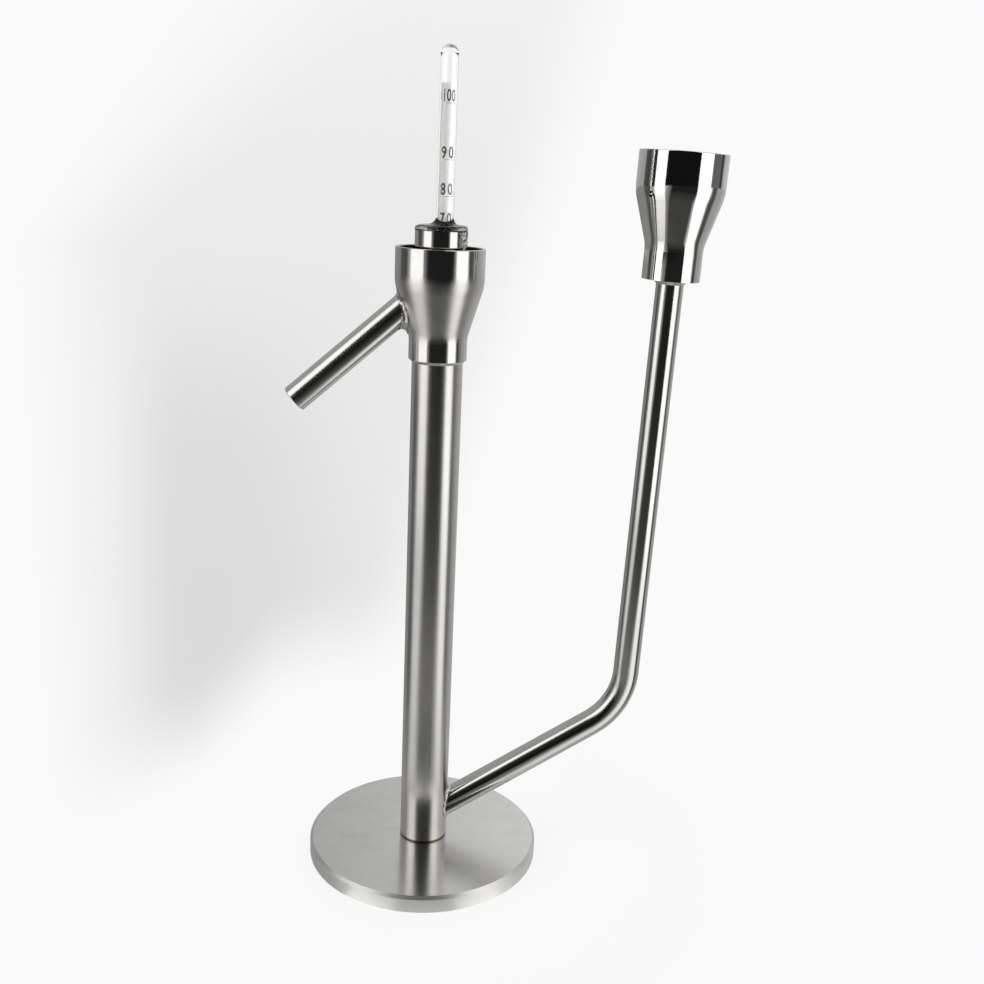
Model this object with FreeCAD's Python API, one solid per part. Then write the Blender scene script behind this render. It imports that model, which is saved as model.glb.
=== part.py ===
import FreeCAD, Part
import math
import os

# Still parrot: a stand that condensed spirit runs through, with a float that reads its strength
# Millimetres, +Z up along the column, origin at the centre of the disc's underside,
# the inlet on the +X side and the spout on the -X side

# Foot disc
base_diameter = 107.4
base_thickness = 8.0
base_top_chamfer = 1.3
base_bottom_chamfer = 0.5

# Column tube and the plug that closes its foot
column_diameter = 22.0
column_wall = 1.0
column_length = 283.0
column_lip_radius = 0.25
plug_height = 7.0
plug_clearance = 0.05
plug_chamfer = 0.6
tapped_depth = 5.5

# Countersunk screw that holds the disc to the plug
screw_diameter = 6.0
screw_length = 12.0
screw_head_diameter = 12.0
screw_head_recess = 0.3
screw_point_chamfer = 0.6
screw_hole_clearance = 0.2
screw_thread_clearance = 0.05
socket_across_flats = 4.0
socket_depth = 2.3

# Both cups are cut from one size of tube reducer, the wide end up
cup_mouth_diameter = 38.0
cup_wall = 1.4
cup_half_angle = 16.5
cup_foot_bend = 15.0
cup_shoulder_bend = 22.0
cup_lip_radius = 0.3
collar_clearance = 0.1

# Overflow cup, round the open top of the column
overflow_land = 12.0
overflow_collar = 7.6
rim_below_column_top = 7.3
overflow_weld_leg = 1.4

# Thin tube that the spout and the inlet are cut from
tube_diameter = 12.0
tube_wall = 1.0
tube_lip_radius = 0.4

# Spout: slopes down from the overflow cup's cone
spout_slope = 41.4
spout_reach = 60.8
spout_axis_drop = 12.2
spout_weld_radius = 2.6

# Inlet tube: out of the column's foot, one bend, then upright with a slight lean
inlet_rise = 8.95
inlet_slope = 31.1
inlet_corner_reach = 93.1
inlet_lean = 1.8
inlet_bend_radius = 32.0
inlet_weld_radius = 1.5

# Inlet cup on top of the inlet tube
inlet_land = 13.6
inlet_collar = 12.1
inlet_rim_rise = 35.4
inlet_floor_thickness = 2.0
inlet_floor_clearance = 0.05
inlet_cup_weld_leg = 1.8

# Glass float, its tip above the column's rim as it floats in strong spirit
float_tip_rise = 72.5
stem_diameter = 7.4
stem_length = 123.5
stem_wall = 0.6
stem_tip_radius = 3.4
stem_tip_glass = 2.0
float_diameter = 16.5
float_body_length = 76.0
float_wall = 0.7
float_wall_gap = 0.45
float_half_angle = 24.0
float_neck_bend = 9.0
float_shoulder_bend = 7.0

# Rolled paper scale inside the stem
paper_thickness = 0.15
paper_clearance = 0.1
paper_top_below_tip = 14.8
paper_length = 104.0

# Ballast in the bottom of the float
ballast_clearance = 0.05
shot_depth = 5.15
seal_thickness = 3.0

# How close an edge must lie to a plane or a seam to count as on it
plane_tolerance = 1e-6
seam_tolerance = 1e-3

# Sizes and places worked out from the values above
origin = FreeCAD.Vector(0, 0, 0)
up = FreeCAD.Vector(0, 0, 1)
side = FreeCAD.Vector(0, 1, 0)
column_r = column_diameter / 2
bore_r = column_r - column_wall
column_top = base_thickness + column_length
tube_r = tube_diameter / 2
tube_bore_r = tube_r - tube_wall
collar_r = column_r + collar_clearance + cup_wall
mouth_r = cup_mouth_diameter / 2
float_r = float_diameter / 2
stem_r = stem_diameter / 2
float_offset = bore_r - float_r - float_wall_gap
overflow_rim = column_top - rim_below_column_top
inlet_rim_height = column_top + inlet_rim_rise
inlet_axis_height = base_thickness + inlet_rise
branch_reach = 3 * column_diameter


def polar(length, angle):
    """A vector in the XZ plane, its angle in degrees up from +X."""
    turn = math.radians(angle)
    return FreeCAD.Vector(length * math.cos(turn), 0, length * math.sin(turn))


def revolved(edges):
    """Turn a closed outline in the XZ plane about the Z axis."""
    face = Part.Face(Part.Wire(edges))
    return face.revolve(origin, up, 360)


def outline(points):
    """Straight edges through (radius, height) points, closed."""
    corners = [FreeCAD.Vector(r, 0, z) for r, z in points]
    return [Part.makeLine(a, b) for a, b in zip(corners, corners[1:] + corners[:1])]


def ring(inner_r, outer_r, bottom, top):
    """A plain round ring about the Z axis."""
    return revolved(outline([(inner_r, bottom), (outer_r, bottom), (outer_r, top), (inner_r, top)]))


def arc(centre, radius, start, end):
    """An arc in the XZ plane, its angles in degrees up from +X."""
    middle = (start + end) / 2
    points = [centre + polar(radius, angle) for angle in (start, middle, end)]
    return Part.Arc(*points).toShape()


def flare(small_r, large_r, small_z, way, half_angle, small_bend, large_bend):
    """Edges that widen smoothly from small_r to large_r, upward (way 1) or downward (way -1).

    Two arcs meet the straight cone between them. Returns the edges and the height of the wide end.
    """
    lean = math.radians(half_angle)
    arcs_out = (small_bend + large_bend) * (1 - math.cos(lean))
    arcs_up = (small_bend + large_bend) * math.sin(lean)
    large_z = small_z + way * (arcs_up + (large_r - small_r - arcs_out) / math.tan(lean))
    small_centre = FreeCAD.Vector(small_r + small_bend, 0, small_z)
    large_centre = FreeCAD.Vector(large_r - large_bend, 0, large_z)
    first = arc(small_centre, small_bend, 180, 180 - way * half_angle)
    last = arc(large_centre, large_bend, -way * half_angle, 0)
    cone = Part.makeLine(first.lastVertex().Point, last.firstVertex().Point)
    return [first, cone, last], large_z


def cup_height(land, collar):
    """Height of a cup from the foot of its collar to its rim."""
    flared = flare(collar_r, mouth_r, 0, 1, cup_half_angle, cup_foot_bend, cup_shoulder_bend)
    return collar + flared[1] + land


def cup_side(land, collar, skin):
    """The cup's profile from its foot at height 0 up to its rim, moved in by skin."""
    small_r = collar_r - skin
    large_r = mouth_r - skin
    foot_bend = cup_foot_bend + skin
    shoulder_bend = cup_shoulder_bend - skin
    edges, shoulder = flare(small_r, large_r, collar, 1, cup_half_angle, foot_bend, shoulder_bend)
    foot = Part.makeLine(FreeCAD.Vector(small_r, 0, 0), FreeCAD.Vector(small_r, 0, collar))
    top = FreeCAD.Vector(large_r, 0, shoulder + land)
    return [foot] + edges + [Part.makeLine(FreeCAD.Vector(large_r, 0, shoulder), top)]


def cup_block(land, collar, skin):
    """The cup as a filled body, moved in by skin, with its foot at height 0."""
    height = cup_height(land, collar)
    outer = cup_side(land, collar, skin)
    top = Part.makeLine(outer[-1].lastVertex().Point, FreeCAD.Vector(0, 0, height))
    middle = Part.makeLine(FreeCAD.Vector(0, 0, height), origin)
    foot = Part.makeLine(origin, FreeCAD.Vector(collar_r - skin, 0, 0))
    return revolved(outer + [top, middle, foot])


def rim_edges(shape, height):
    """The round edges of a shape that lie in the horizontal plane at height."""
    level = []
    for edge in shape.Edges:
        span = edge.BoundBox
        if max(abs(span.ZMin - height), abs(span.ZMax - height)) < plane_tolerance:
            level.append(edge)
    return level


def cup(land, collar):
    """A reducer used as a cup: even wall, open both ends, its lip rounded."""
    height = cup_height(land, collar)
    wall = cup_block(land, collar, 0).cut(cup_block(land, collar, cup_wall))
    return wall.makeFillet(cup_lip_radius, rim_edges(wall, height))


def tube_along(path, radius):
    """A round bar swept along a path that starts on the column's axis."""
    start = path.Edges[0].firstVertex().Point
    heading = path.Edges[0].tangentAt(path.Edges[0].FirstParameter)
    section = Part.Wire([Part.makeCircle(radius, start, heading)])
    return path.makePipeShell([section], True, False)


def bead(carrier, branch, radius):
    """The weld fillet where a branch leaves its carrier, both given as filled bodies."""
    joined = carrier.fuse(branch)
    seam = carrier.section(branch)
    edges = [edge for edge in joined.Edges if on_seam(edge, seam)]
    return joined.makeFillet(radius, edges).cut(joined)


def on_seam(edge, seam):
    """True where an edge's middle and quarter points lie on the seam."""
    span = edge.LastParameter - edge.FirstParameter
    points = [edge.valueAt(edge.FirstParameter + share * span) for share in (0.25, 0.5, 0.75)]
    return all(seam.distToShape(Part.Vertex(point))[0] < seam_tolerance for point in points)


# Foot
def base_disc():
    """Turned plate with chamfered edges, drilled and countersunk for the screw."""
    radius = base_diameter / 2
    top = base_thickness
    plate = revolved(outline([
        (0, 0), (radius - base_bottom_chamfer, 0), (radius, base_bottom_chamfer),
        (radius, top - base_top_chamfer), (radius - base_top_chamfer, top), (0, top)]))
    hole_r = screw_diameter / 2 + screw_hole_clearance
    seat_r = screw_head_diameter / 2 + screw_head_recess
    countersink = Part.makeCone(seat_r, 0, seat_r)
    return plate.cut(countersink).cut(Part.makeCylinder(hole_r, base_thickness))


def base_screw():
    """Countersunk screw with a hex socket, its head just under the disc's underside."""
    shank_r = screw_diameter / 2
    head_r = screw_head_diameter / 2
    face = screw_head_recess
    tip = face + screw_length
    body = revolved(outline([
        (0, face), (head_r, face), (shank_r, face + head_r - shank_r),
        (shank_r, tip - screw_point_chamfer), (shank_r - screw_point_chamfer, tip), (0, tip)]))
    corner_r = socket_across_flats / math.sqrt(3)
    corners = [FreeCAD.Vector(corner_r, 0, face)]
    for turn in range(60, 361, 60):
        angle = math.radians(turn)
        corners.append(FreeCAD.Vector(corner_r * math.cos(angle), corner_r * math.sin(angle), face))
    socket = Part.Face(Part.makePolygon(corners)).extrude(up * socket_depth)
    return body.cut(socket)


def column_plug():
    """Round plug, flush with the tube's foot, with a blind tapped hole."""
    radius = bore_r - plug_clearance
    foot = base_thickness
    top = foot + plug_height
    body = revolved(outline([
        (0, foot), (radius, foot), (radius, top - plug_chamfer), (radius - plug_chamfer, top), (0, top)]))
    hole_r = screw_diameter / 2 + screw_thread_clearance
    tapped = Part.makeCylinder(hole_r, tapped_depth, FreeCAD.Vector(0, 0, foot))
    point = Part.makeCone(hole_r, 0, hole_r / 2, FreeCAD.Vector(0, 0, foot + tapped_depth))
    return body.cut(tapped).cut(point)


# Column
def inlet_heading():
    """Direction of the inlet tube's sloping run."""
    return polar(1, inlet_slope)


def inlet_start():
    """Where the inlet tube's axis crosses the column's axis."""
    return FreeCAD.Vector(0, 0, inlet_axis_height)


def column_bar():
    """The column tube as a filled bar."""
    return Part.makeCylinder(column_r, column_length, FreeCAD.Vector(0, 0, base_thickness))


def column_tube():
    """Tube from the disc to above the overflow cup's rim, with the inlet's hole in its side."""
    wall = ring(bore_r, column_r, base_thickness, column_top)
    wall = wall.makeFillet(column_lip_radius, rim_edges(wall, column_top))
    hole = Part.makeCylinder(tube_bore_r, branch_reach, inlet_start(), inlet_heading())
    return wall.cut(hole)


# Overflow cup and spout
def overflow_foot():
    """Height of the foot of the overflow cup's collar."""
    return overflow_rim - cup_height(overflow_land, overflow_collar)


def overflow_block():
    """The overflow cup as a filled body in its place."""
    block = cup_block(overflow_land, overflow_collar, 0)
    return block.translated(FreeCAD.Vector(0, 0, overflow_foot()))


def spout_start():
    """Where the spout's axis crosses the column's axis."""
    return FreeCAD.Vector(0, 0, overflow_rim - spout_axis_drop)


def spout_heading():
    """Direction of the spout's axis, outward and down."""
    return polar(1, 180 + spout_slope)


def spout_bar(radius):
    """A bar along the spout's axis from the column's axis to its tip."""
    length = spout_reach / math.cos(math.radians(spout_slope))
    return Part.makeCylinder(radius, length, spout_start(), spout_heading())


def overflow_cup():
    """Reducer sleeved over the column, with the spout's hole in its cone."""
    shell = cup(overflow_land, overflow_collar).translated(FreeCAD.Vector(0, 0, overflow_foot()))
    return shell.cut(spout_bar(tube_bore_r))


def overflow_cup_weld():
    """Fillet between the foot of the collar and the column."""
    foot = overflow_foot()
    leg = overflow_weld_leg
    return revolved(outline([(column_r, foot), (column_r, foot - leg), (column_r + leg, foot)]))


def spout_tube():
    """Tube coped to the cone, its free end square with rounded edges."""
    length = spout_reach / math.cos(math.radians(spout_slope))
    wall = spout_bar(tube_r).cut(spout_bar(tube_bore_r))
    tip = spout_start() + spout_heading() * length
    ends = [edge for edge in wall.Edges if (edge.CenterOfMass - tip).Length < tube_wall]
    return wall.makeFillet(tube_lip_radius, ends).cut(overflow_block())


def spout_weld():
    """Weld bead round the root of the spout."""
    return bead(overflow_block(), spout_bar(tube_r), spout_weld_radius)


# Inlet tube and cup
def upright_heading():
    """Direction of the inlet tube's upright run."""
    return polar(1, 90 - inlet_lean)


def inlet_corner():
    """Where the axes of the sloping run and the upright run meet."""
    return inlet_start() + polar(inlet_corner_reach / math.cos(math.radians(inlet_slope)), inlet_slope)


def on_upright(height):
    """The point of the upright run's axis at a height."""
    start = inlet_corner()
    heading = upright_heading()
    return start + heading * ((height - start.z) / heading.z)


def inlet_cup_foot():
    """Centre of the foot of the inlet cup's collar, which leans with the tube."""
    return on_upright(inlet_rim_height) - upright_heading() * cup_height(inlet_land, inlet_collar)


def on_inlet(shape):
    """Move a shape made about the Z axis onto the foot of the inlet cup."""
    placed = shape.copy()
    placed.rotate(origin, side, inlet_lean)
    return placed.translated(inlet_cup_foot())


def inlet_path():
    """The inlet tube's axis: sloping run, bend, upright run up to the cup's floor."""
    turn = math.radians(90 - inlet_lean - inlet_slope)
    tangent = inlet_bend_radius * math.tan(turn / 2)
    corner = inlet_corner()
    first = corner - inlet_heading() * tangent
    last = corner + upright_heading() * tangent
    centre = first + polar(inlet_bend_radius, inlet_slope + 90)
    middle = centre + (corner - centre).normalize() * inlet_bend_radius
    top = inlet_cup_foot() + upright_heading() * inlet_floor_thickness
    bend = Part.Arc(first, middle, last).toShape()
    return Part.Wire([Part.makeLine(inlet_start(), first), bend, Part.makeLine(last, top)])


def inlet_tube():
    """Bent tube, coped to the column at its foot and flush with the cup's floor at its top."""
    path = inlet_path()
    wall = tube_along(path, tube_r).cut(tube_along(path, tube_bore_r))
    return wall.cut(column_bar())


def inlet_weld():
    """Weld bead where the inlet tube leaves the column."""
    branch = Part.makeCylinder(tube_r, branch_reach, inlet_start(), inlet_heading())
    return bead(column_bar(), branch, inlet_weld_radius)


def inlet_cup():
    """The reducer on top of the inlet tube."""
    return on_inlet(cup(inlet_land, inlet_collar))


def inlet_cup_floor():
    """Ring that closes the collar round the inlet tube."""
    inner_r = tube_r + inlet_floor_clearance
    outer_r = collar_r - cup_wall - inlet_floor_clearance
    return on_inlet(ring(inner_r, outer_r, 0, inlet_floor_thickness))


def inlet_cup_weld():
    """Fillet between the inlet tube and the underside of the floor."""
    leg = inlet_cup_weld_leg
    return on_inlet(revolved(outline([(tube_r, 0), (tube_r, -leg), (tube_r + leg, 0)])))


# Float
def float_block(body_skin, stem_skin, tip_skin):
    """The float's outline as a filled body, moved in by a skin at its body, its stem and its tip."""
    tip = column_top + float_tip_rise
    neck = tip - stem_length
    small_r = stem_r - stem_skin
    large_r = float_r - body_skin
    bend = float_shoulder_bend - body_skin
    shoulder, wide = flare(small_r, large_r, neck, -1, float_half_angle, float_neck_bend + stem_skin, bend)
    crown_r = stem_tip_radius - stem_skin
    top = tip - tip_skin
    round_z = neck + float_r - float_body_length
    bowl = arc(FreeCAD.Vector(0, 0, round_z), large_r, 0, -90)
    side_line = Part.makeLine(FreeCAD.Vector(large_r, 0, wide), FreeCAD.Vector(large_r, 0, round_z))
    axis_line = Part.makeLine(FreeCAD.Vector(0, 0, round_z - large_r), FreeCAD.Vector(0, 0, top))
    crown_centre = FreeCAD.Vector(small_r - crown_r, 0, top - crown_r)
    crown = arc(crown_centre, crown_r, 90, 0)
    cap = Part.makeLine(FreeCAD.Vector(0, 0, top), crown.firstVertex().Point)
    stem_side = Part.makeLine(crown.lastVertex().Point, FreeCAD.Vector(small_r, 0, neck))
    body = revolved([cap, crown, stem_side] + shoulder + [side_line, bowl, axis_line])
    return body.translated(FreeCAD.Vector(float_offset, 0, 0))


def float_floor():
    """Height of the inside bottom of the float."""
    return column_top + float_tip_rise - stem_length - float_body_length + float_wall


def float_slice(bottom, top):
    """What fills the inside of the float between two heights above its inside bottom."""
    filling = float_block(float_wall + ballast_clearance, stem_wall, stem_tip_glass)
    slab = Part.makeCylinder(float_diameter, top - bottom, FreeCAD.Vector(0, 0, float_floor() + bottom))
    return filling.common(slab)


def float_glass():
    """One piece of blown glass, hollow and sealed: round bottom, shoulder, stem."""
    return float_block(0, 0, 0).cut(float_block(float_wall, stem_wall, stem_tip_glass))


def scale_paper():
    """The rolled paper scale, up against the inside of the stem."""
    outer_r = stem_r - stem_wall - paper_clearance
    top = column_top + float_tip_rise - paper_top_below_tip
    roll = ring(outer_r - paper_thickness, outer_r, top - paper_length, top)
    return roll.translated(FreeCAD.Vector(float_offset, 0, 0))


def ballast_shot():
    """Packed shot in the round bottom of the float."""
    return float_slice(0, shot_depth)


def ballast_seal():
    """Layer of resin that holds the shot."""
    return float_slice(shot_depth, shot_depth + seal_thickness)


pieces = {
    "base_disc": base_disc,
    "base_screw": base_screw,
    "column_plug": column_plug,
    "column_tube": column_tube,
    "overflow_cup": overflow_cup,
    "overflow_cup_weld": overflow_cup_weld,
    "spout_tube": spout_tube,
    "spout_weld": spout_weld,
    "inlet_tube": inlet_tube,
    "inlet_weld": inlet_weld,
    "inlet_cup": inlet_cup,
    "inlet_cup_floor": inlet_cup_floor,
    "inlet_cup_weld": inlet_cup_weld,
    "float_glass": float_glass,
    "scale_paper": scale_paper,
    "ballast_shot": ballast_shot,
    "ballast_seal": ballast_seal,
}

os.makedirs("parts", exist_ok=True)
for name, make in pieces.items():
    shape = make()
    shape.exportStep("parts/" + name + ".step")
    solids = len(shape.Solids)
    print(name, "solids", solids, "valid", shape.isValid(), "volume", round(shape.Volume, 2))
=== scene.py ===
import math

import bmesh
import bpy
from mathutils import Matrix, Vector, noise


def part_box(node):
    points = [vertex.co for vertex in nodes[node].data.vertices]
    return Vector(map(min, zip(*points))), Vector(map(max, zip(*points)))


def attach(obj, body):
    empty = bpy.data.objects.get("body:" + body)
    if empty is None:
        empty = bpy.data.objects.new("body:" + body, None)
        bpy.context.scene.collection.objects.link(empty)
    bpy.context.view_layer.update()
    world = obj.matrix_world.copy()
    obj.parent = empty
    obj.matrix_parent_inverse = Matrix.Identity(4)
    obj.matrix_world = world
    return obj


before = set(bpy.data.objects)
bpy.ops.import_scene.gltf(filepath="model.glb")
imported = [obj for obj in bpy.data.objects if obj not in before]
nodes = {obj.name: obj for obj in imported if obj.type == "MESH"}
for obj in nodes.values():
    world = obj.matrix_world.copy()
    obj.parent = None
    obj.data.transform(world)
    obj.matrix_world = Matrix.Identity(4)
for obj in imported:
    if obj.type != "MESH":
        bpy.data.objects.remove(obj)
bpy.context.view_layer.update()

MM = 0.001
rim_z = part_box("column_tube")[1].z
tube_r = 11.0 * MM
bore_r = 10.0 * MM
stem_x = 1.3 * MM
stem_r = 3.7 * MM
paper_r = 3.0 * MM
fit_gap = 0.03 * MM


# Camera
def make_camera():
    """The camera at the place and with the lens that were fitted to the photograph."""
    data = bpy.data.cameras.new("camera")
    data.lens = 42.225
    data.sensor_width = 36.0
    data.clip_start = 0.02
    data.clip_end = 50.0
    camera = bpy.data.objects.new("camera", data)
    bpy.context.scene.collection.objects.link(camera)
    right = Vector((0.99274, -0.11229, 0.04299))
    up = Vector((-0.01106, 0.27071, 0.96260))
    back = Vector((-0.11973, -0.95609, 0.26751))
    place = Matrix((right, up, back)).transposed().to_4x4()
    place.translation = Vector((-0.03542, -0.49156, 0.31519))
    camera.matrix_world = place
    bpy.context.scene.camera = camera


# Node helpers
def add(tree, kind, inputs=(), **settings):
    """A shader node with its settings, and its input sockets set or linked."""
    node = tree.nodes.new(kind)
    for key, value in settings.items():
        setattr(node, key, value)
    for socket, value in dict(inputs).items():
        if isinstance(value, bpy.types.NodeSocket):
            tree.links.new(value, node.inputs[socket])
        else:
            node.inputs[socket].default_value = value
    return node


def math_node(tree, operation, *values, clamp=False):
    node = add(tree, "ShaderNodeMath", operation=operation, use_clamp=clamp)
    for socket, value in zip(node.inputs, values):
        if isinstance(value, bpy.types.NodeSocket):
            tree.links.new(value, socket)
        else:
            socket.default_value = value
    return node.outputs[0]


def ramp(tree, factor, stops, interpolation="EASE"):
    """A color ramp through (position, grey) or (position, color) stops."""
    node = add(tree, "ShaderNodeValToRGB", {0: factor})
    node.color_ramp.interpolation = interpolation
    elements = node.color_ramp.elements
    while len(elements) < len(stops):
        elements.new(0.5)
    for element, (position, value) in zip(elements, stops):
        element.position = position
        color = value if isinstance(value, tuple) else (value, value, value)
        element.color = (*color, 1.0)
    return node.outputs[0]


def smooth(tree, value, low, high):
    """0 below low, 1 above high, smooth between."""
    node = add(tree, "ShaderNodeMapRange", interpolation_type="SMOOTHSTEP")
    tree.links.new(value, node.inputs["Value"])
    node.inputs["From Min"].default_value = low
    node.inputs["From Max"].default_value = high
    return node.outputs[0]


def mix_colors(tree, factor, low, high, **settings):
    """low where factor is 0 and high where it is 1."""
    return add(tree, "ShaderNodeMix", {0: factor, 6: low, 7: high}, data_type="RGBA", **settings).outputs[2]


def coordinates(tree, kind="Object"):
    """X, Y and Z of the point in the part's own frame, or of its normal."""
    return add(tree, "ShaderNodeSeparateXYZ", {0: add(tree, "ShaderNodeTexCoord").outputs[kind]}).outputs


def grain(tree, scale, detail=4.0, turn=0.0):
    """Noise in the part's own frame, stretched by scale after turning the frame about Y."""
    point = add(tree, "ShaderNodeTexCoord").outputs["Object"]
    turned = add(tree, "ShaderNodeMapping", {"Vector": point, "Rotation": (0.0, turn, 0.0)})
    stretched = add(tree, "ShaderNodeMapping", {"Vector": turned.outputs[0], "Scale": scale})
    values = {"Vector": stretched.outputs[0], "Scale": 1.0, "Detail": detail, "Roughness": 0.55}
    return add(tree, "ShaderNodeTexNoise", values).outputs[0]


def new_tree(name):
    material = bpy.data.materials.new(name)
    material.use_nodes = True
    tree = material.node_tree
    tree.nodes.clear()
    return material, tree


def finish_material(tree, shader):
    output = add(tree, "ShaderNodeOutputMaterial")
    tree.links.new(shader, output.inputs["Surface"])


def rough_value(tree, base, *parts):
    """base plus each (pattern, amount) part, the pattern centred on one half."""
    total = None
    for pattern, amount in parts:
        offset = math_node(tree, "MULTIPLY_ADD", pattern, amount, -0.5 * amount)
        total = offset if total is None else math_node(tree, "ADD", total, offset)
    return math_node(tree, "ADD", total, base, clamp=True)


# Metals
def steel(name, tint, roughness, brush, turn=0.0, brush_depth=0.4, brush_rough=0.08, patch=0.05,
          bands=None, anisotropic=0.0, dark_foot=None):
    """Stainless steel: fine brushed lines, cloudy wear, and roughness that may change with height.

    brush is the noise scale along X, Y and Z after the turn. bands are (height, roughness) stops that
    take the place of roughness. Below the given foot height the metal is dark brown, with a wavy edge.
    """
    material, tree = new_tree(name)
    lines = grain(tree, brush, detail=3.0, turn=turn)
    cloud = grain(tree, (60.0, 60.0, 45.0), detail=5.0)
    fine = grain(tree, (900.0, 900.0, 900.0), detail=2.0)
    if bands:
        low, high = bands[0][0], bands[-1][0]
        place = add(tree, "ShaderNodeMapRange", {
            "Value": coordinates(tree)[2], "From Min": low * MM, "From Max": high * MM})
        stops = [((z - low) / (high - low), value) for z, value in bands]
        roughness = ramp(tree, place.outputs[0], stops)
    rough = rough_value(tree, roughness, (lines, brush_rough), (cloud, patch), (fine, 0.01))
    shade = ramp(tree, cloud, [(0.3, tuple(0.94 * c for c in tint)), (0.7, tint)])
    # Dark brown below the given foot height, in a band with a wavy top 1 mm high
    if dark_foot:
        uneven = math_node(tree, "MULTIPLY_ADD", cloud, 0.5 * MM, coordinates(tree)[2])
        above_foot = smooth(tree, uneven, dark_foot * MM, (dark_foot + 1.0) * MM)
        shade = mix_colors(tree, above_foot, (0.10, 0.075, 0.06, 1.0), shade)
    streaks = ramp(tree, lines, [(0.25, 0.93), (0.75, 1.0)])
    bump = add(tree, "ShaderNodeBump", {"Strength": brush_depth, "Distance": 0.01 * MM, "Height": lines})
    shader = add(tree, "ShaderNodeBsdfPrincipled", {
        "Base Color": mix_colors(tree, 1.0, shade, streaks, blend_type="MULTIPLY"),
        "Roughness": rough, "Normal": bump.outputs[0], "Metallic": 1.0, "Anisotropic": anisotropic})
    if anisotropic:
        tangent = add(tree, "ShaderNodeTangent", direction_type="RADIAL", axis="Z")
        tree.links.new(tangent.outputs[0], shader.inputs["Tangent"])
    finish_material(tree, shader.outputs[0])
    return material


def disc_steel(name, tint):
    """Plate steel: the top brushed along X, so that it blurs reflections along Y, and the rim turned."""
    material, tree = new_tree(name)
    flat = smooth(tree, coordinates(tree, "Normal")[2], 0.6, 0.95)
    lines = grain(tree, (40.0, 2200.0, 2200.0), detail=3.0)
    cloud = grain(tree, (45.0, 70.0, 45.0), detail=5.0)
    smudge = grain(tree, (120.0, 120.0, 120.0), detail=3.0)
    base = math_node(tree, "MULTIPLY_ADD", flat, -0.28, 0.5)
    rough = rough_value(tree, base, (lines, 0.03), (cloud, 0.06), (smudge, 0.05))
    shade = ramp(tree, cloud, [(0.3, tuple(0.95 * c for c in tint)), (0.7, tint)])
    prints = ramp(tree, smudge, [(0.25, 0.95), (0.6, 1.0)])
    bump = add(tree, "ShaderNodeBump", {"Strength": 0.12, "Distance": 0.01 * MM, "Height": lines})
    tangent = add(tree, "ShaderNodeMix", {
        0: flat, 4: (0.0, 0.0, 1.0), 5: (0.0, 1.0, 0.0)}, data_type="VECTOR")
    shader = add(tree, "ShaderNodeBsdfPrincipled", {
        "Base Color": mix_colors(tree, 1.0, shade, prints, blend_type="MULTIPLY"),
        "Roughness": rough, "Normal": bump.outputs[0], "Metallic": 1.0,
        "Anisotropic": 0.8, "Tangent": tangent.outputs[1]})
    finish_material(tree, shader.outputs[0])
    return material


def glass(name, ior, tint=(1.0, 1.0, 1.0)):
    """Clear glass or liquid, with faint waves in its surface."""
    material, tree = new_tree(name)
    waves = grain(tree, (140.0, 140.0, 40.0), detail=1.0)
    bump = add(tree, "ShaderNodeBump", {"Strength": 0.1, "Distance": 0.04 * MM, "Height": waves})
    shader = add(tree, "ShaderNodeBsdfPrincipled", {
        "Base Color": (*tint, 1.0), "Roughness": 0.0, "IOR": ior, "Transmission Weight": 1.0,
        "Normal": bump.outputs[0]})
    finish_material(tree, shader.outputs[0])
    return material


def paper(name):
    """Matte white paper with faint fibres."""
    material, tree = new_tree(name)
    fibres = grain(tree, (1500.0, 1500.0, 600.0), detail=4.0)
    tone = ramp(tree, fibres, [(0.3, (0.90, 0.895, 0.875)), (0.7, (0.95, 0.945, 0.93))])
    bump = add(tree, "ShaderNodeBump", {"Strength": 0.2, "Distance": 0.02 * MM, "Height": fibres})
    shader = add(tree, "ShaderNodeBsdfPrincipled", {
        "Base Color": tone, "Roughness": 0.8, "Normal": bump.outputs[0]})
    finish_material(tree, shader.outputs[0])
    return material


def ink(name):
    """Printed black, a little uneven."""
    material, tree = new_tree(name)
    uneven = grain(tree, (2500.0, 2500.0, 2500.0), detail=3.0)
    tone = ramp(tree, uneven, [(0.3, 0.012), (0.75, 0.04)])
    shader = add(tree, "ShaderNodeBsdfPrincipled", {"Base Color": tone, "Roughness": 0.65})
    finish_material(tree, shader.outputs[0])
    return material


def dull(name, low, high, roughness, scale):
    """An opaque, spotted colour between low and high."""
    material, tree = new_tree(name)
    spots = grain(tree, (scale, scale, scale), detail=3.0)
    bump = add(tree, "ShaderNodeBump", {"Strength": 0.6, "Distance": 0.1 * MM, "Height": spots})
    shader = add(tree, "ShaderNodeBsdfPrincipled", {
        "Base Color": ramp(tree, spots, [(0.35, low), (0.65, high)]), "Roughness": roughness,
        "Normal": bump.outputs[0]})
    finish_material(tree, shader.outputs[0])
    return material


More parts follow.
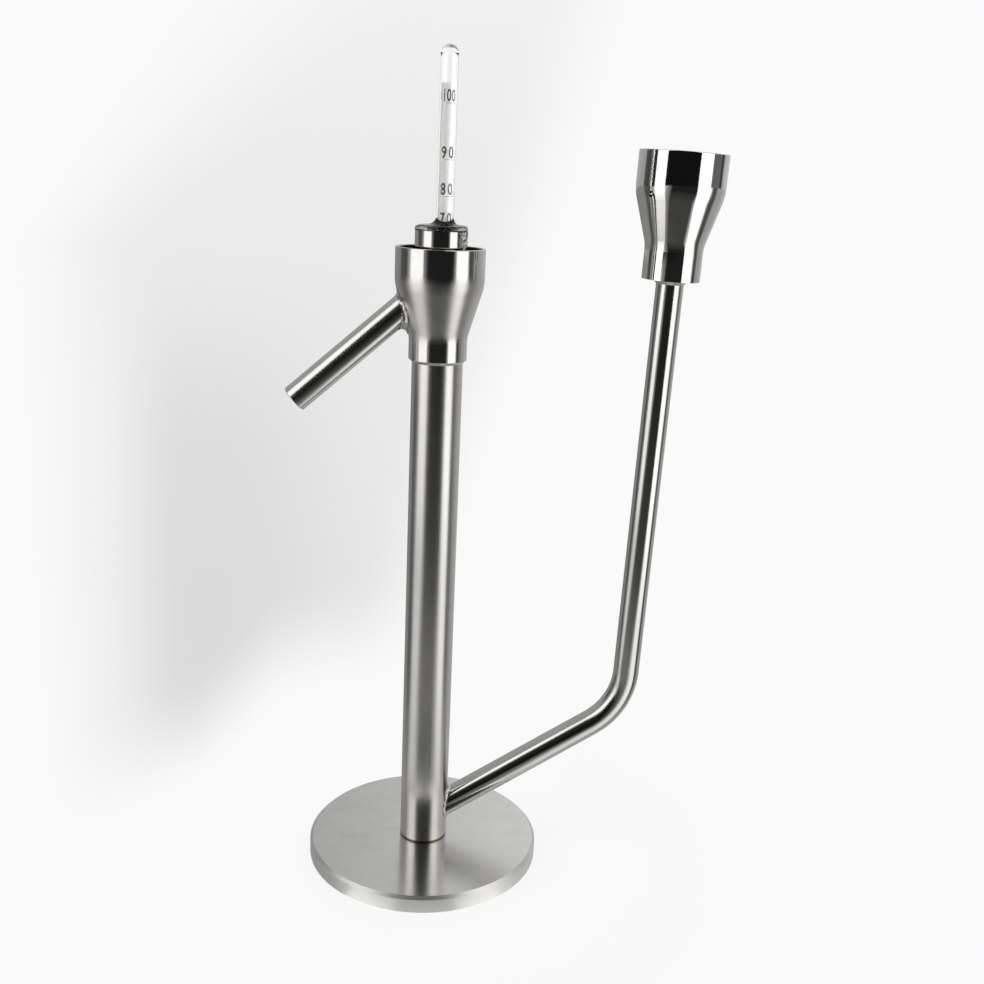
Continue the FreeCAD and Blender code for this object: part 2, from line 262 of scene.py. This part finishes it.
bright = (0.63, 0.62, 0.60)
brushed = (1800.0, 1800.0, 12.0)
spun = (160.0, 160.0, 260.0)
cut = (1500.0, 1500.0, 1500.0)
rough_cast = (900.0, 900.0, 900.0)
spout_slope = 41.4
materials = {
    "base_disc": disc_steel("disc finish", (0.74, 0.735, 0.715)),
    "column_tube": steel(
        "column finish", bright, 0.2, brushed, brush_depth=0.25, brush_rough=0.06, anisotropic=0.3, dark_foot=8.6,
        bands=[(8, 0.24), (279, 0.24), (284, 0.07), (291, 0.07)]),
    "overflow_cup": steel(
        "overflow cup finish", bright, 0.2, spun, brush_depth=0.05, brush_rough=0.02, patch=0.03,
        bands=[(235, 0.12), (244, 0.12), (248, 0.3), (269, 0.3), (274, 0.12), (284, 0.1)]),
    "inlet_cup": steel(
        "inlet cup finish", (0.7, 0.69, 0.67), 0.06, spun, brush_depth=0.02, brush_rough=0.01, patch=0.02),
    "inlet_tube": steel(
        "inlet tube finish", bright, 0.15, brushed, turn=math.radians(-2.0), brush_depth=0.08,
        brush_rough=0.03, patch=0.03),
    "spout_tube": steel(
        "spout finish", bright, 0.2, brushed, turn=math.radians(spout_slope - 90), brush_depth=0.03,
        brush_rough=0.015, patch=0.02),
    "column_plug": steel("plug finish", bright, 0.3, cut),
    "base_screw": steel("screw finish", (0.5, 0.5, 0.49), 0.3, cut),
    "inlet_cup_floor": steel("cup floor finish", bright, 0.25, rough_cast),
    "float_glass": glass("float glass finish", 1.47),
    "scale_paper": paper("scale paper finish"),
    "ballast_shot": dull("shot finish", 0.02, 0.22, 0.35, 900.0),
    "ballast_seal": dull("seal finish", (0.30, 0.04, 0.03), (0.42, 0.07, 0.05), 0.3, 300.0),
}
weld_steel = steel("weld finish", (0.60, 0.585, 0.56), 0.3, rough_cast, brush_depth=0.6, patch=0.12)
for weld in ("overflow_cup_weld", "spout_weld", "inlet_weld", "inlet_cup_weld"):
    materials[weld] = weld_steel
for name, node in nodes.items():
    for slot in node.material_slots:
        slot.material = materials[name]


# Weld beads
def ripple_bead(node, depth, size):
    """Small ripples of a depth and size in millimetres, as the filler ran."""
    split = node.modifiers.new("finer mesh", "SUBSURF")
    split.subdivision_type = "SIMPLE"
    split.levels = split.render_levels = 2
    texture = bpy.data.textures.new(node.name + " ripples", "CLOUDS")
    texture.noise_scale = size * MM
    texture.noise_depth = 1
    push = node.modifiers.new("ripples", "DISPLACE")
    push.texture = texture
    push.texture_coords = "LOCAL"
    push.strength = depth * MM
    push.mid_level = 0.4


ripple_bead(nodes["spout_weld"], 1.0, 3.2)
ripple_bead(nodes["inlet_weld"], 0.5, 1.6)


# Meshes
def new_object(name, mesh, material):
    piece = bpy.data.objects.new(name, mesh)
    bpy.context.scene.collection.objects.link(piece)
    mesh.materials.append(material)
    return piece


def mesh_from(name, points, faces, material, shade_smooth=True):
    mesh = bpy.data.meshes.new(name)
    mesh.from_pydata([tuple(p) for p in points], [], faces)
    mesh.validate()
    for polygon in mesh.polygons:
        polygon.use_smooth = shade_smooth
    return new_object(name, mesh, material)


def grid_faces(rows, columns, closed_rows=False):
    """Quads of a grid of points, row by row, each row closed round and the rows too where asked."""
    faces = []
    for i in range(rows if closed_rows else rows - 1):
        for j in range(columns):
            a, b = i * columns + j, i * columns + (j + 1) % columns
            below = ((i + 1) % rows) * columns
            faces.append((a, b, below + (j + 1) % columns, below + j))
    return faces


# Liquid that stands above the column's rim, climbs the stem and wets the tube
spirit_ior = 1.345
water = glass("liquid finish", spirit_ior, tint=(0.42, 0.42, 0.41))
clear_water = glass("liquid film finish", spirit_ior, tint=(0.85, 0.85, 0.84))
# Painted shade: a near-black finish for the liquid's bottom face, standing for the dark depth of the bore
# below it
depth = dull("painted bore shade", (0.012, 0.012, 0.012), (0.03, 0.03, 0.028), 0.9, 400.0)
dome_overhang = 0.22 * MM
dome_bottom = rim_z - 8 * MM
film_top = rim_z - 0.6 * MM
film_drop = 9.0 * MM
film_from, film_to = -52.0, 40.0


def dome_height(t, turn):
    """Height above the rim from the stem (t 0) to the tube's outside (t 1), lower at the front of the stem."""
    front = max(0.0, -math.sin(turn)) ** 2
    meniscus = (3.0 - 1.3 * front) * math.exp(-t / 0.15)
    bulge = 2.0 * (1.0 - 0.2 * (1.0 - t)) * math.sqrt(max(0.0, 1.0 - t ** 9))
    return (meniscus + bulge) * MM


def ring_points(radius, z, around, centre=0.0):
    """A level ring of points, its centre on the X axis."""
    turns = [2 * math.pi * j / around for j in range(around)]
    return [(centre + radius * math.cos(turn), radius * math.sin(turn), z) for turn in turns]


def make_dome():
    """The liquid that stands in the column's mouth: its top, its edge on the lip, and its body in the bore."""
    around, steps = 160, 48
    edge = tube_r + dome_overhang
    skin = tube_r + 0.01 * MM
    bore = bore_r - fit_gap
    stem = stem_r + fit_gap
    turns = [2 * math.pi * j / around for j in range(around)]
    points = []
    for i in range(steps):
        t = i / steps
        for turn in turns:
            inner = Vector((stem_x + stem * math.cos(turn), stem * math.sin(turn), 0.0))
            outer = Vector((edge * math.cos(turn), edge * math.sin(turn), 0.0))
            point = inner.lerp(outer, t)
            point.z = rim_z + dome_height(t, turn)
            points.append(point)
    rings = [
        (edge, rim_z, 0.0), (tube_r + 0.14 * MM, rim_z - 0.35 * MM, 0.0), (skin, rim_z - 0.5 * MM, 0.0),
        (skin, rim_z + fit_gap, 0.0), (bore, rim_z + fit_gap, 0.0), (bore, dome_bottom, 0.0),
        (stem, dome_bottom, stem_x)]
    for radius, z, centre in rings:
        points += ring_points(radius, z, around, centre)
    rows = steps + len(rings)
    faces = [face[::-1] for face in grid_faces(rows, around, closed_rows=True)]
    dome = mesh_from("liquid", points, faces, water)
    # Painted shade: the bottom face, 8 mm down the bore, gets the near-black finish
    dome.data.materials.append(depth)
    for polygon in dome.data.polygons:
        if polygon.center.z < dome_bottom + 0.1 * MM:
            polygon.material_index = 1
            polygon.use_smooth = False
    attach(dome, "stand")


def film_thickness(across, down):
    """Thickness of the film that runs down the tube's outside, in millimetres, 0 all round its border."""
    border = min(1.0, 5.0 * min(across, 1.0 - across)) * min(1.0, 6.0 * (1.0 - down))
    place = Vector((5.0 * across, 5.0 * down, 0.0))
    ripple = 0.5 + 0.7 * noise.noise(place) + 0.4 * noise.noise(2.7 * place)
    return border * (0.04 + 0.3 * max(0.0, ripple))


def make_film():
    """The wet patch on the tube's right side: an outer sheet with ripples, closed by a smooth inner one."""
    around, steps = 60, 40
    points = []
    for i in range(steps):
        down = i / (steps - 1)
        for inner in (False, True):
            for j in range(around):
                across = j / (around - 1)
                if inner:
                    across, height = 1.0 - across, 0.012
                else:
                    height = 0.02 + film_thickness(across, down)
                turn = math.radians(film_from + (film_to - film_from) * across)
                radius = tube_r + height * MM
                points.append((radius * math.cos(turn), radius * math.sin(turn), film_top - film_drop * down))
    faces = [face[::-1] for face in grid_faces(steps, 2 * around)]
    faces.append(tuple(range(2 * around)))
    faces.append(tuple(reversed(range((steps - 1) * 2 * around, steps * 2 * around))))
    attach(mesh_from("liquid_film", points, faces, clear_water), "stand")


# Printed scale
densities = {
    100: 0.7872, 90: 0.8292, 80: 0.8593, 70: 0.8855, 60: 0.9091, 50: 0.9301, 40: 0.9480, 30: 0.9622,
    20: 0.9734, 10: 0.9846, 0: 0.9982}
half_densities = {
    95: 0.8114, 85: 0.8449, 75: 0.8727, 65: 0.8976, 55: 0.9200, 45: 0.9394, 35: 0.9555, 25: 0.9680,
    15: 0.9790, 5: 0.9911}
float_mass = 14.746
zero_z = 248.9
cap_height = 0.72
text_rise = 0.7


def mark_z(density):
    """Height of a mark in millimetres: the float of this mass, in grams, sinks deeper in lighter spirit."""
    area = math.pi * (stem_r / MM) ** 2
    return zero_z + 1000.0 * float_mass * (1.0 / density - 1.0 / densities[0]) / area


def on_paper(x, z):
    """A point of the print: x millimetres round the paper from its front line, z up."""
    radius = paper_r + 0.015 * MM
    turn = x * MM / paper_r
    return (stem_x + radius * math.sin(turn), -radius * math.cos(turn), z * MM)


def printed(name, flat, black):
    """Wrap a flat mesh, given in millimetres, round the paper."""
    shape = bmesh.new()
    shape.from_mesh(flat)
    left = min(v.co.x for v in shape.verts)
    right = max(v.co.x for v in shape.verts)
    for i in range(1, math.ceil((right - left) / 0.4)):
        everything = shape.verts[:] + shape.edges[:] + shape.faces[:]
        bmesh.ops.bisect_plane(shape, geom=everything, plane_co=(left + 0.4 * i, 0, 0), plane_no=(1, 0, 0))
    for vertex in shape.verts:
        vertex.co = on_paper(vertex.co.x, vertex.co.y)
    mesh = bpy.data.meshes.new(name)
    shape.to_mesh(mesh)
    shape.free()
    piece = new_object(name, mesh, black)
    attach(piece, "float")
    return piece


def word_mesh(text, height, narrow, pitch, bold, left, bottom):
    """The outlines of a number as a flat mesh, its first digit starting at left."""
    curve = bpy.data.curves.new("number", "FONT")
    curve.body = text
    curve.size = height / cap_height
    curve.space_character = pitch
    curve.offset = bold
    curve.resolution_u = 3
    holder = bpy.data.objects.new("number", curve)
    bpy.context.scene.collection.objects.link(holder)
    bpy.context.view_layer.update()
    mesh = bpy.data.meshes.new_from_object(holder)
    bpy.data.objects.remove(holder)
    start = min(v.co.x for v in mesh.vertices)
    for vertex in mesh.vertices:
        vertex.co.x = left + (vertex.co.x - start) * narrow
        vertex.co.y += bottom
    return mesh


def bar_mesh(left, right, middle, half_width):
    bottom, top = middle - half_width, middle + half_width
    corners = [(left, bottom, 0), (right, bottom, 0), (right, top, 0), (left, top, 0)]
    mesh = bpy.data.meshes.new("bar")
    mesh.from_pydata(corners, [], [(0, 1, 2, 3)])
    return mesh


def make_scale():
    """Numbers and lines in front, and twice each number round the back."""
    black = ink("scale ink")
    marks = sorted(densities, reverse=True)
    for i, mark in enumerate(marks):
        z = mark_z(densities[mark])
        above = mark_z(densities[marks[i - 1]]) - z if i else 20.0
        height = min(4.7, 0.62 * above)
        narrow, pitch, left = (0.52, 1.08, -2.1) if mark == 100 else (0.66, 1.35, -2.4)
        number = word_mesh(str(mark), height, narrow, pitch, 0.15, left, z + text_rise)
        printed("scale_number_%d" % mark, number, black)
        printed("scale_line_%d" % mark, bar_mesh(-1.0, 5.0, z, 0.07), black)
        proof = word_mesh(str(2 * mark), height, 0.6, 1.0, 0.06, -9.0, z + text_rise)
        printed("proof_number_%d" % mark, proof, black)
    for mark, density in half_densities.items():
        printed("scale_line_%d" % mark, bar_mesh(2.2, 3.4, mark_z(density), 0.06), black)


# Studio
def turned_ramp(tree, around, stops):
    """A ramp over the azimuth, its stops in degrees from -Y towards +X."""
    return ramp(tree, around, [((angle + 180) / 360, value) for angle, value in stops])


def blend(tree, factor, low, high):
    """low where factor is 0 and high where it is 1, for grey values."""
    return math_node(tree, "MULTIPLY_ADD", factor, math_node(tree, "SUBTRACT", high, low), low)


def azimuth(tree, x, y):
    """The azimuth from -Y towards +X in radians, and as a ramp factor from 0 to 1."""
    facing = math_node(tree, "ARCTAN2", x, math_node(tree, "MULTIPLY", y, -1.0))
    return facing, math_node(tree, "MULTIPLY_ADD", facing, 0.5 / math.pi, 0.5)


def make_world():
    """A dark room with pale walls for the metal, and a white page for the camera and the glass."""
    world = bpy.data.worlds.new("studio")
    bpy.context.scene.world = world
    world.use_nodes = True
    tree = world.node_tree
    tree.nodes.clear()
    direction = add(tree, "ShaderNodeTexCoord").outputs["Generated"]
    parts = add(tree, "ShaderNodeSeparateXYZ", {0: direction}).outputs
    around = azimuth(tree, parts[0], parts[1])[1]
    side = turned_ramp(tree, around, [
        (-180, 0.51), (-160, 0.49), (-128, 0.44), (-122, 0.10), (-105, 0.07), (-103, 0.24), (-100, 0.24),
        (-98, 0.05), (-90, 0.03), (-50, 0.008), (30, 0.008), (40, 0.08), (72, 0.16), (93, 0.17), (97, 0.05),
        (103, 0.06), (108, 0.5), (118, 0.64), (150, 0.7), (165, 0.74), (176, 0.62), (180, 0.51)])
    top = turned_ramp(tree, around, [
        (-180, 0.56), (-178, 0.51), (-160, 0.47), (-120, 0.48), (-97, 0.36), (-90, 0.9), (-84, 1.0),
        (-55, 1.0), (-40, 0.02), (28, 0.02), (40, 1.0), (75, 1.0), (110, 0.7), (165, 0.85), (171, 0.8),
        (176, 0.66), (180, 0.56)])
    walls = mix_colors(tree, smooth(tree, parts[2], 0.18, 0.45), side, top)
    overhead = smooth(tree, parts[2], 0.94, 0.99)
    room_color = mix_colors(tree, overhead, walls, (0.5, 0.5, 0.5, 1.0))
    room = add(tree, "ShaderNodeBackground", {"Color": room_color, "Strength": 1.0})
    page = add(tree, "ShaderNodeBackground", {"Color": page_color(tree, parts), "Strength": 1.0})
    path = add(tree, "ShaderNodeLightPath")
    seen = math_node(tree, "MAXIMUM", path.outputs["Is Camera Ray"], path.outputs["Is Transmission Ray"])
    mix = add(tree, "ShaderNodeMixShader", {0: seen, 1: room.outputs[0], 2: page.outputs[0]})
    output = add(tree, "ShaderNodeOutputWorld")
    tree.links.new(mix.outputs[0], output.inputs["Surface"])


def page_color(tree, parts):
    """White page with a soft grey shade behind the column and to its left, by direction."""
    heading = math_node(tree, "MULTIPLY", math_node(tree, "ARCTAN2", parts[0], parts[1]), 180 / math.pi)
    lift = math_node(tree, "MULTIPLY", math_node(tree, "ARCSINE", parts[2]), 180 / math.pi)
    above = math_node(tree, "MAXIMUM", math_node(tree, "ADD", lift, 4.0), 0.0)
    start = math_node(tree, "MULTIPLY_ADD", above, -0.6, math_node(tree, "ADD", heading, 16.7))
    width = math_node(tree, "MULTIPLY_ADD", above, 0.45, 8.0)
    left = smooth(tree, math_node(tree, "DIVIDE", start, width), 0.0, 1.0)
    right = smooth(tree, math_node(tree, "MULTIPLY_ADD", lift, -0.28, heading), 11.5, 5.5)
    across = add(tree, "ShaderNodeMapRange", {"Value": heading, "From Min": -18.0, "From Max": 2.0})
    edge = ramp(tree, across.outputs[0], [
        (0.0, 0.775), (0.4, 0.692), (0.5, 0.675), (0.6, 0.633), (0.7, 0.59), (0.82, 0.573),
        (1.0, 0.573)], "LINEAR")
    low = smooth(tree, math_node(tree, "MULTIPLY_ADD", edge, 40.0, lift), -3.0, 3.2)
    place = add(tree, "ShaderNodeMapRange", {"Value": lift, "From Min": -20.0, "From Max": 7.0})
    deep = ramp(tree, place.outputs[0], [(0.0, 0.62), (0.3, 0.52), (0.65, 0.5), (1.0, 0.32)], "LINEAR")
    core = math_node(tree, "MULTIPLY", smooth(tree, heading, -12.5, -8.0), smooth(tree, heading, 3.0, -7.0))
    core = math_node(tree, "MULTIPLY", core, smooth(tree, lift, -3.0, -14.0))
    deep = math_node(tree, "MULTIPLY_ADD", core, 0.34, deep)
    shade = math_node(tree, "MULTIPLY", math_node(tree, "MULTIPLY", left, right), deep)
    return ramp(tree, math_node(tree, "MULTIPLY", shade, low), [(0.0, 0.956), (1.0, 0.694)], "LINEAR")


def floor_glow(tree, x, y):
    """Painted light and shade that the metal sees on the floor: how pale, by azimuth and distance, and the
    distance.
    """
    facing, around = azimuth(tree, x, y)
    squares = math_node(tree, "ADD", math_node(tree, "MULTIPLY", x, x), math_node(tree, "MULTIPLY", y, y))
    reach = math_node(tree, "SQRT", squares)
    far = turned_ramp(tree, around, [
        (-180, 0.24), (-160, 0.30), (-135, 0.33), (-126, 0.30), (-118, 0.12), (-98, 0.10), (-90, 0.5),
        (-82, 0.95), (-56, 0.95), (-46, 0.3), (8, 0.4), (24, 0.55), (36, 0.6), (44, 1.4), (68, 1.4),
        (74, 0.15), (81, 0.08), (87, 0.14), (93, 0.44), (107, 0.45), (124, 0.54), (150, 0.62), (168, 0.5),
        (180, 0.3)])
    near = turned_ramp(tree, around, [
        (-180, 0.36), (-126, 0.36), (-100, 0.3), (-85, 0.7), (-70, 0.85), (-50, 0.6), (-38, 0.35), (28, 0.35),
        (38, 0.6), (50, 0.95), (67, 1.0), (80, 0.55), (105, 0.52), (125, 0.58), (180, 0.4)])
    sides = blend(tree, smooth(tree, reach, 0.06, 0.25), near, far)
    # Painted shade: the floor in front stays dark, standing for the dark room behind the camera
    front_stops = [
        (0.052, 0.5), (0.07, 0.19), (0.11, 0.17), (0.2, 0.25), (0.3, 0.16), (0.45, 0.07), (0.8, 0.045),
        (1.5, 0.02)]
    furthest = front_stops[-1][0]
    place = math_node(tree, "DIVIDE", reach, furthest, clamp=True)
    front = ramp(tree, place, [(distance / furthest, value) for distance, value in front_stops])
    turned = math_node(tree, "MULTIPLY", facing, 180 / math.pi)
    skewed = math_node(tree, "MULTIPLY_ADD", smooth(tree, reach, 0.45, 0.15), 9.0, turned)
    sector = math_node(tree, "MULTIPLY", smooth(tree, turned, -44.0, -34.0), smooth(tree, skewed, 38.0, 28.0))
    # Painted light on the floor right round the disc, for the disc's turned side to reflect
    rim = turned_ramp(tree, around, [
        (-100, 0.4), (-60, 0.42), (-48, 0.55), (-41, 1.5), (-22, 1.5), (-14, 1.02), (10, 1.02), (17, 1.5),
        (36, 1.5), (43, 1.1), (60, 0.75), (100, 0.6)])
    return blend(tree, smooth(tree, reach, 0.080, 0.066), blend(tree, sector, sides, front), rim), reach


def make_floor():
    size, level = 6.0, -0.1 * MM
    points = [(-size, -size, level), (size, -size, level), (size, size, level), (-size, size, level)]
    material, tree = new_tree("floor finish")
    floor = mesh_from("floor", points, [(0, 1, 2, 3)], material, shade_smooth=False)
    position = coordinates(tree)
    glow, reach = floor_glow(tree, position[0], position[1])
    path = add(tree, "ShaderNodeLightPath")
    # What metal sees: a painted reflection, an emission that is pale under the softboxes and dark towards the
    # room in front
    painted_reflection_light = add(tree, "ShaderNodeEmission", {"Color": (1.0, 1.0, 0.99, 1.0), "Strength": glow})
    # What the camera sees: white paper that keeps the part's soft shadow, fading out away from the part
    matte = add(tree, "ShaderNodeBsdfDiffuse", {"Color": (0.25, 0.25, 0.25, 1.0)})
    pale = add(tree, "ShaderNodeEmission", {"Color": (0.806, 0.806, 0.806, 1.0), "Strength": 1.0})
    paper_floor = add(tree, "ShaderNodeAddShader", {0: matte.outputs[0], 1: pale.outputs[0]})
    clear = add(tree, "ShaderNodeBsdfTransparent")
    fade = smooth(tree, reach, 0.085, 0.17)
    seen = add(tree, "ShaderNodeMixShader", {0: fade, 1: paper_floor.outputs[0], 2: clear.outputs[0]})
    mix = add(tree, "ShaderNodeMixShader", {
        0: path.outputs["Is Glossy Ray"], 1: seen.outputs[0], 2: painted_reflection_light.outputs[0]})
    finish_material(tree, mix.outputs[0])


def make_panel(name, start, end, height, stops, for_paper=False):
    """An upright softbox from start to end on the floor, in millimetres, that the camera doesn't see.

    stops are (height, strength); a panel for_paper lights only what stands behind glass.
    """
    a, b = Vector((*start, 0)) * MM, Vector((*end, 0)) * MM
    up = Vector((0, 0, height * MM))
    material, tree = new_tree(name + " light")
    place = math_node(tree, "DIVIDE", coordinates(tree)[2], height * MM, clamp=True)
    strongest = 4.0
    share = ramp(tree, place, [(z / height, value / strongest) for z, value in stops])
    glow = add(tree, "ShaderNodeEmission", {
        "Color": (1.0, 0.995, 0.98, 1.0), "Strength": math_node(tree, "MULTIPLY", share, strongest)})
    finish_material(tree, glow.outputs[0])
    panel = mesh_from(name, [a, b, b + up, a + up], [(0, 1, 2, 3)], material, shade_smooth=False)
    panel.visible_camera = False
    if for_paper:
        panel.visible_diffuse = False
        panel.visible_glossy = False


make_camera()
make_dome()
make_film()
make_scale()
make_world()
make_floor()
make_panel("left_panel", (-392, -52), (-250, -241), 650, [
    (0, 0.75), (30, 0.85), (70, 1.2), (110, 1.4), (260, 1.7), (650, 1.7)])
make_panel("right_panel", (326, -433), (397, -152), 650, [
    (0, 1.6), (60, 1.85), (150, 1.8), (300, 1.72), (650, 1.72)])
make_panel("paper_panel", (250, -433), (500, 0), 900, [(0, 3.9), (900, 3.9)], for_paper=True)
bpy.context.scene.view_settings.view_transform = "Standard"
